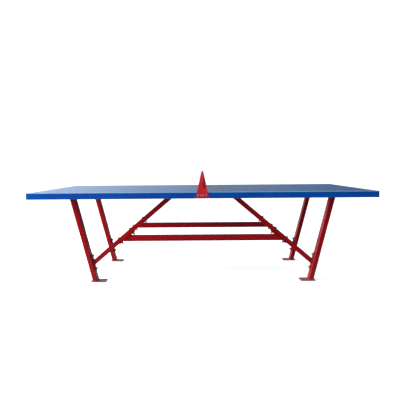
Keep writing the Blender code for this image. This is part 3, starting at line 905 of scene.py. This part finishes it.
# ---- welds ----
@dataclass
class WeldSet:
    """Rippled weld beads round the ends of the tubes, painted with the frame."""

    bench: Bench
    bead: float = 3.2 * MM
    swell: float = 0.12
    ripple: float = 6.0 * MM
    step: float = 2.0 * MM
    sides: int = 6
    crease: float = 60.0
    shortest_leg_edge: float = 0.30
    shortest_brace_edge: float = 0.20
    shortest_beam_edge: float = 0.50

    def build(self) -> list[bpy.types.Object]:
        """Run a bead round each end of every leg, brace and beam.

        Returns:
            The beads.
        """
        beads = []
        for corner in CORNERS:
            beads += self.weld(f"leg_{corner}", self.shortest_leg_edge)
            beads += self.weld(f"brace_{corner}", self.shortest_brace_edge)
        for row in ("front", "rear"):
            beads += self.weld(f"beam_{row}", self.shortest_beam_edge)
        return beads

    def weld(self, node: str, shortest: float) -> list[bpy.types.Object]:
        """Weld both ends of the tube in a frame node.

        Args:
            node: Name of the frame node.
            shortest: Least length of the edges that run along the tube.

        Returns:
            The two beads.
        """
        beads = []
        for number, loop in enumerate(tube_ends(node, shortest), start=1):
            name = f"{node}_weld_{number}"
            shape = bmesh.new()
            self.sweep(shape, self.resample(loop))
            mesh = finish_mesh(shape, name, self.crease)
            beads.append(self.bench.put(name, mesh, Finish.FRAME))
        return beads

    def resample(self, loop: Ring) -> Ring:
        """Space points at even steps round a closed loop.

        Args:
            loop: Corners of the loop.

        Returns:
            The points.
        """
        marks: list[Vector] = []
        for start, end in zip(loop, loop[1:] + loop[:1]):
            count = max(1, round((end - start).length / self.step))
            marks += [start.lerp(end, at / count) for at in range(count)]
        return marks

    def sweep(self, shape: bmesh.types.BMesh, path: Ring) -> None:
        """Sweep a rippled round section along a closed path.

        Args:
            shape: Mesh that the bead joins.
            path: Points of the path, in order.
        """
        middle = sum(path, Vector()) / len(path)
        turns = [2 * math.pi * at / self.sides for at in range(self.sides)]
        rings: list[Ring] = []
        travelled = 0.0
        for at, point in enumerate(path):
            after = path[(at + 1) % len(path)]
            way = (after - path[at - 1]).normalized()
            out = point - middle
            out = (out - way * out.dot(way)).normalized()
            up = way.cross(out)
            wave = math.sin(2 * math.pi * travelled / self.ripple)
            radius = self.bead * (1.0 + self.swell * wave)
            rings.append([point + (out * math.cos(turn) + up * math.sin(turn)) * radius
                          for turn in turns])
            travelled += (after - point).length
        skin(shape, rings, looped=True)


# ---- net ----
@dataclass
class PunchedNet:
    """Steel net: a sheet with rows of round holes, a rolled hem and a tongue at each end.

    The tongues pass through the slots in the two end brackets.

    Attributes:
        hem_end: Size of the hem's end faces, of its section.
        near: Distance within which a point lies on a rim.
        merge: Distance within which two points of neighbouring squares are one.
    """

    bench: Bench
    thickness: float = 3.0 * MM
    pitch: float = 30.0 * MM
    rows: int = 4
    hole_radius: float = 9.0 * MM
    hem: float = 12.0 * MM
    hem_round: float = 4.0 * MM
    hem_ease: float = 0.5 * MM
    hem_end: float = 0.92
    hem_steps: int = 6
    foot_gap: float = 2.0 * MM
    tongue_low: float = 26.0 * MM
    tongue_high: float = 134.0 * MM
    sides: int = 16
    near: float = 0.05 * MM
    merge: float = 0.01 * MM

    def build(self) -> list[bpy.types.Object]:
        """Build the net in place of the plain sheet.

        Returns:
            The net.
        """
        _, half_width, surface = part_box("playing_board_right")[1]
        _, tip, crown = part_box("net_panel")[1]
        shape = bmesh.new()
        self.sheet(shape, half_width, surface, tip, crown)
        self.hem_bar(shape, half_width, crown - self.hem / 2)
        mesh = finish_mesh(in_order(shape), "punched_net")
        return [self.bench.put("punched_net", mesh, Finish.NET, stands_for="net_panel")]

    def sheet(self, shape: bmesh.types.BMesh, half_width: float, surface: float, tip: float,
              crown: float) -> None:
        """Add the punched sheet with its two tongues.

        Args:
            shape: Mesh that it joins.
            half_width: Half the width of the sheet.
            surface: Height of the playing surface.
            tip: How far across the tongues reach.
            crown: Height of the top of the net.
        """
        foot = surface + self.foot_gap
        columns = int((2 * half_width - self.pitch) / self.pitch)
        left = -columns * self.pitch / 2
        base = (foot + crown - self.hem) / 2 - self.rows * self.pitch / 2
        for row in range(self.rows):
            for column in range(columns):
                self.cell(shape, left + (column + 0.5) * self.pitch, base + (row + 0.5) * self.pitch)
        bmesh.ops.remove_doubles(shape, verts=shape.verts, dist=self.merge)
        everywhere = (-math.inf, math.inf)
        self.grow(shape, 1, left, -half_width, everywhere)
        self.grow(shape, 1, -left, half_width, everywhere)
        self.grow(shape, 2, base, foot, everywhere)
        self.grow(shape, 2, base + self.rows * self.pitch, crown - self.hem / 2, everywhere)
        levels = (surface + self.tongue_low, surface + self.tongue_high)
        self.grow(shape, 1, -half_width, -tip, levels)
        self.grow(shape, 1, half_width, tip, levels)
        grown = bmesh.ops.extrude_face_region(shape, geom=list(shape.faces))
        moved = [item for item in grown["geom"] if isinstance(item, bmesh.types.BMVert)]
        bmesh.ops.translate(shape, vec=(self.thickness, 0.0, 0.0), verts=moved)
        bmesh.ops.translate(shape, vec=(-self.thickness / 2, 0.0, 0.0), verts=shape.verts)

    def cell(self, shape: bmesh.types.BMesh, across: float, level: float) -> None:
        """Add one square of the sheet round its hole.

        Args:
            shape: Mesh that it joins.
            across: Place of its middle across the table.
            level: Height of its middle.
        """
        inner: list[bmesh.types.BMVert] = []
        outer: list[bmesh.types.BMVert] = []
        for at in range(self.sides):
            turn = 2 * math.pi * at / self.sides
            cosine, sine = math.cos(turn), math.sin(turn)
            reach = self.pitch / 2 / max(abs(cosine), abs(sine))
            inner.append(shape.verts.new((0.0, across + self.hole_radius * cosine,
                                          level + self.hole_radius * sine)))
            outer.append(shape.verts.new((0.0, across + reach * cosine, level + reach * sine)))
        for at in range(self.sides):
            after = (at + 1) % self.sides
            shape.faces.new((inner[at], inner[after], outer[after], outer[at]))

    def grow(self, shape: bmesh.types.BMesh, axis: int, edge: float, target: float,
             levels: tuple[float, float]) -> None:
        """Carry the rim that lies at an edge out to a target along an axis.

        Args:
            shape: Mesh that has the rim.
            axis: Number of the axis.
            edge: Where the rim is along it.
            target: Where it goes.
            levels: Lowest and highest height of the part of the rim that is carried.
        """
        rim = [item for item in shape.edges if item.is_boundary
               and all(abs(vert.co[axis] - edge) < self.near for vert in item.verts)
               and all(levels[0] <= vert.co.z <= levels[1] for vert in item.verts)]
        grown = bmesh.ops.extrude_edge_only(shape, edges=rim)
        for item in grown["geom"]:
            if isinstance(item, bmesh.types.BMVert):
                item.co[axis] = target

    def hem_bar(self, shape: bmesh.types.BMesh, half_width: float, middle: float) -> None:
        """Add the rolled hem along the top.

        Args:
            shape: Mesh that it joins.
            half_width: Half its length.
            middle: Height of its middle.
        """
        radius = self.hem_round
        reach = (self.hem / 2 - radius) * math.sqrt(2)
        outline: list[tuple[float, float]] = []
        for corner in range(4):
            facing = (corner + 0.5) * math.pi / 2
            for at in range(self.hem_steps + 1):
                turn = facing + (at / self.hem_steps - 0.5) * math.pi / 2
                outline.append((reach * math.cos(facing) + radius * math.cos(turn),
                                reach * math.sin(facing) + radius * math.sin(turn)))
        inside = half_width - self.hem_ease
        rings = [[Vector((x * share, across, middle + z * share)) for x, z in outline]
                 for across, share in ((-half_width, self.hem_end), (-inside, 1.0),
                                       (inside, 1.0), (half_width, self.hem_end))]
        skin(shape, rings)


# ---- studio ----
@dataclass(frozen=True)
class Sky:
    """Soft white surround, brightest at the left, dimmest right of the middle.

    Attributes:
        horizon: Light near the horizon, as pairs of how far right it is and how strong.
        brightest: Strength that the horizon's ramp is scaled to.
        overhead: Strength of the light from above.
        low: Height of direction where the light from above starts to take over.
        high: Height of direction where it has done so.
        behind: Strength of the horizon behind the table, of that in front.
        turn: Depth of direction over which front gives way to behind.
    """

    horizon: tuple[tuple[float, float], ...] = (
        (-1.0, 6.4), (-0.85, 3.6), (-0.4, 1.05), (-0.12, 0.47), (0.05, 0.28), (0.35, 0.08),
        (0.8, 0.25), (1.0, 1.0))
    brightest: float = 8.0
    overhead: float = 0.75
    low: float = 0.15
    high: float = 0.70
    behind: float = 0.85
    turn: float = 0.2
    colour: str = "#f4f8ff"

    def build(self) -> None:
        """Make the world; the camera itself sees plain white."""
        world = bpy.data.worlds.new("studio")
        bpy.context.scene.world = world
        world.use_nodes = True
        tree = world.node_tree
        tree.nodes.clear()
        way = add_node(tree, "ShaderNodeTexCoord").outputs["Generated"]
        split = add_node(tree, "ShaderNodeSeparateXYZ", {0: way})
        rightward = add_node(tree, "ShaderNodeMapRange", {
            "Value": split.outputs["X"], "From Min": -1.0, "From Max": 1.0})
        band = add_node(tree, "ShaderNodeValToRGB", {0: rightward})
        stops = band.color_ramp.elements
        while len(stops) < len(self.horizon):
            stops.new(0.5)
        for stop, (across, light) in zip(stops, self.horizon):
            share = light / self.brightest
            stop.position = (across + 1.0) / 2
            stop.color = (share, share, share, 1.0)
        depth = add_node(tree, "ShaderNodeMapRange", {
            "Value": split.outputs["Y"], "From Min": -self.turn, "From Max": self.turn,
            "To Min": self.brightest, "To Max": self.brightest * self.behind})
        sideways = add_node(tree, "ShaderNodeMath", {0: band, 1: depth}, operation="MULTIPLY")
        upward = add_node(tree, "ShaderNodeMapRange", {
            "Value": split.outputs["Z"], "From Min": self.low, "From Max": self.high})
        strength = add_node(tree, "ShaderNodeMix", {0: upward, 2: sideways, 3: self.overhead})
        soft = add_node(tree, "ShaderNodeBackground", {
            "Color": linear(self.colour), "Strength": strength})
        plain = add_node(tree, "ShaderNodeBackground", {
            "Color": linear("#ffffff"), "Strength": 1.0})
        seen = add_node(tree, "ShaderNodeLightPath").outputs["Is Camera Ray"]
        mixed = add_node(tree, "ShaderNodeMixShader", {0: seen, 1: soft, 2: plain})
        add_node(tree, "ShaderNodeOutputWorld", {"Surface": mixed})


@dataclass(frozen=True)
class Softbox:
    """One rectangular soft light, which glossy surfaces mirror only if it says so."""

    name: str
    spot: tuple[float, float, float]
    target: tuple[float, float, float]
    width: float
    height: float
    watts: float
    mirrored: bool = False

    def hang(self) -> None:
        """Hang the light where it belongs, turned to its target."""
        data = bpy.data.lights.new(self.name, "AREA")
        data.shape = "RECTANGLE"
        data.size, data.size_y, data.energy = self.width, self.height, self.watts
        light = bpy.data.objects.new(self.name, data)
        bpy.context.scene.collection.objects.link(light)
        turn = (Vector(self.target) - Vector(self.spot)).to_track_quat("-Z", "Y")
        light.matrix_world = Matrix.Translation(self.spot) @ turn.to_matrix().to_4x4()
        light.visible_glossy = self.mirrored


@dataclass(frozen=True)
class Studio:
    """Pale floor, soft light and the camera in front of the table, just above its top."""

    floor_reach: float = 30.0
    floor_squares: int = 4
    lights: tuple[Softbox, ...] = (
        Softbox("left_softbox", (-4.2, -2.2, 1.5), (0.0, -0.4, 0.5), 1.2, 1.2, 135.0,
                mirrored=True),
        Softbox("rear_softbox", (-2.6, 1.8, 1.9), (-0.9, 0.1, 0.76), 1.2, 1.2, 70.0),
        Softbox("low_softbox", (-6.0, 0.3, 0.6), (1.0, 0.0, 0.4), 1.5, 1.0, 250.0))
    eye: tuple[float, float, float] = (0.0013, -4.704, 0.9642)
    yaw: float = 0.0051
    pitch: float = -0.0672
    roll: float = -0.0077
    focal_share: float = 1.274175
    sensor_mm: float = 36.0

    def build(self) -> None:
        """Set up everything round the table."""
        self.floor()
        Sky().build()
        for light in self.lights:
            light.hang()
        self.camera()

    def floor(self) -> None:
        """Lay the floor."""
        shape = bmesh.new()
        bmesh.ops.create_grid(shape, x_segments=self.floor_squares, y_segments=self.floor_squares,
                              size=self.floor_reach)
        floor = bpy.data.objects.new("studio_floor", finish_mesh(shape, "studio_floor"))
        bpy.context.scene.collection.objects.link(floor)
        floor.data.materials.append(StudioFloor().make())

    def camera(self) -> None:
        """Stand the camera in front of the table, and show colours as they are lit."""
        ahead = Vector((-math.sin(self.yaw) * math.cos(self.pitch),
                        math.cos(self.yaw) * math.cos(self.pitch), math.sin(self.pitch)))
        level = Vector((math.cos(self.yaw), math.sin(self.yaw), 0.0))
        upright = level.cross(ahead)
        right = level * math.cos(self.roll) + upright * math.sin(self.roll)
        up = upright * math.cos(self.roll) - level * math.sin(self.roll)
        data = bpy.data.cameras.new("camera")
        data.sensor_width = self.sensor_mm
        data.lens = self.focal_share * self.sensor_mm
        camera = bpy.data.objects.new("camera", data)
        bpy.context.scene.collection.objects.link(camera)
        turn = Matrix((right, up, -ahead)).transposed().to_4x4()
        camera.matrix_world = Matrix.Translation(self.eye) @ turn
        bpy.context.scene.camera = camera
        bpy.context.scene.view_settings.view_transform = "Standard"


def main() -> None:
    """Dress the frame, build the detailed pieces, log each one and set up the studio."""
    logging.basicConfig(level=logging.INFO, format="%(name)s: %(message)s")
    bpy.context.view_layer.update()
    bench = Bench(Paintshop())
    for assembly in (CarriedPieces(bench), FastenerSet(bench), WeldSet(bench), PunchedNet(bench)):
        for piece in assembly.build():
            finish = piece.material_slots[0].material.name
            LOG.info("%s: %s, %d faces", piece.name, finish, len(piece.data.polygons))
    Studio().build()


if __name__ == "__main__":
    main()
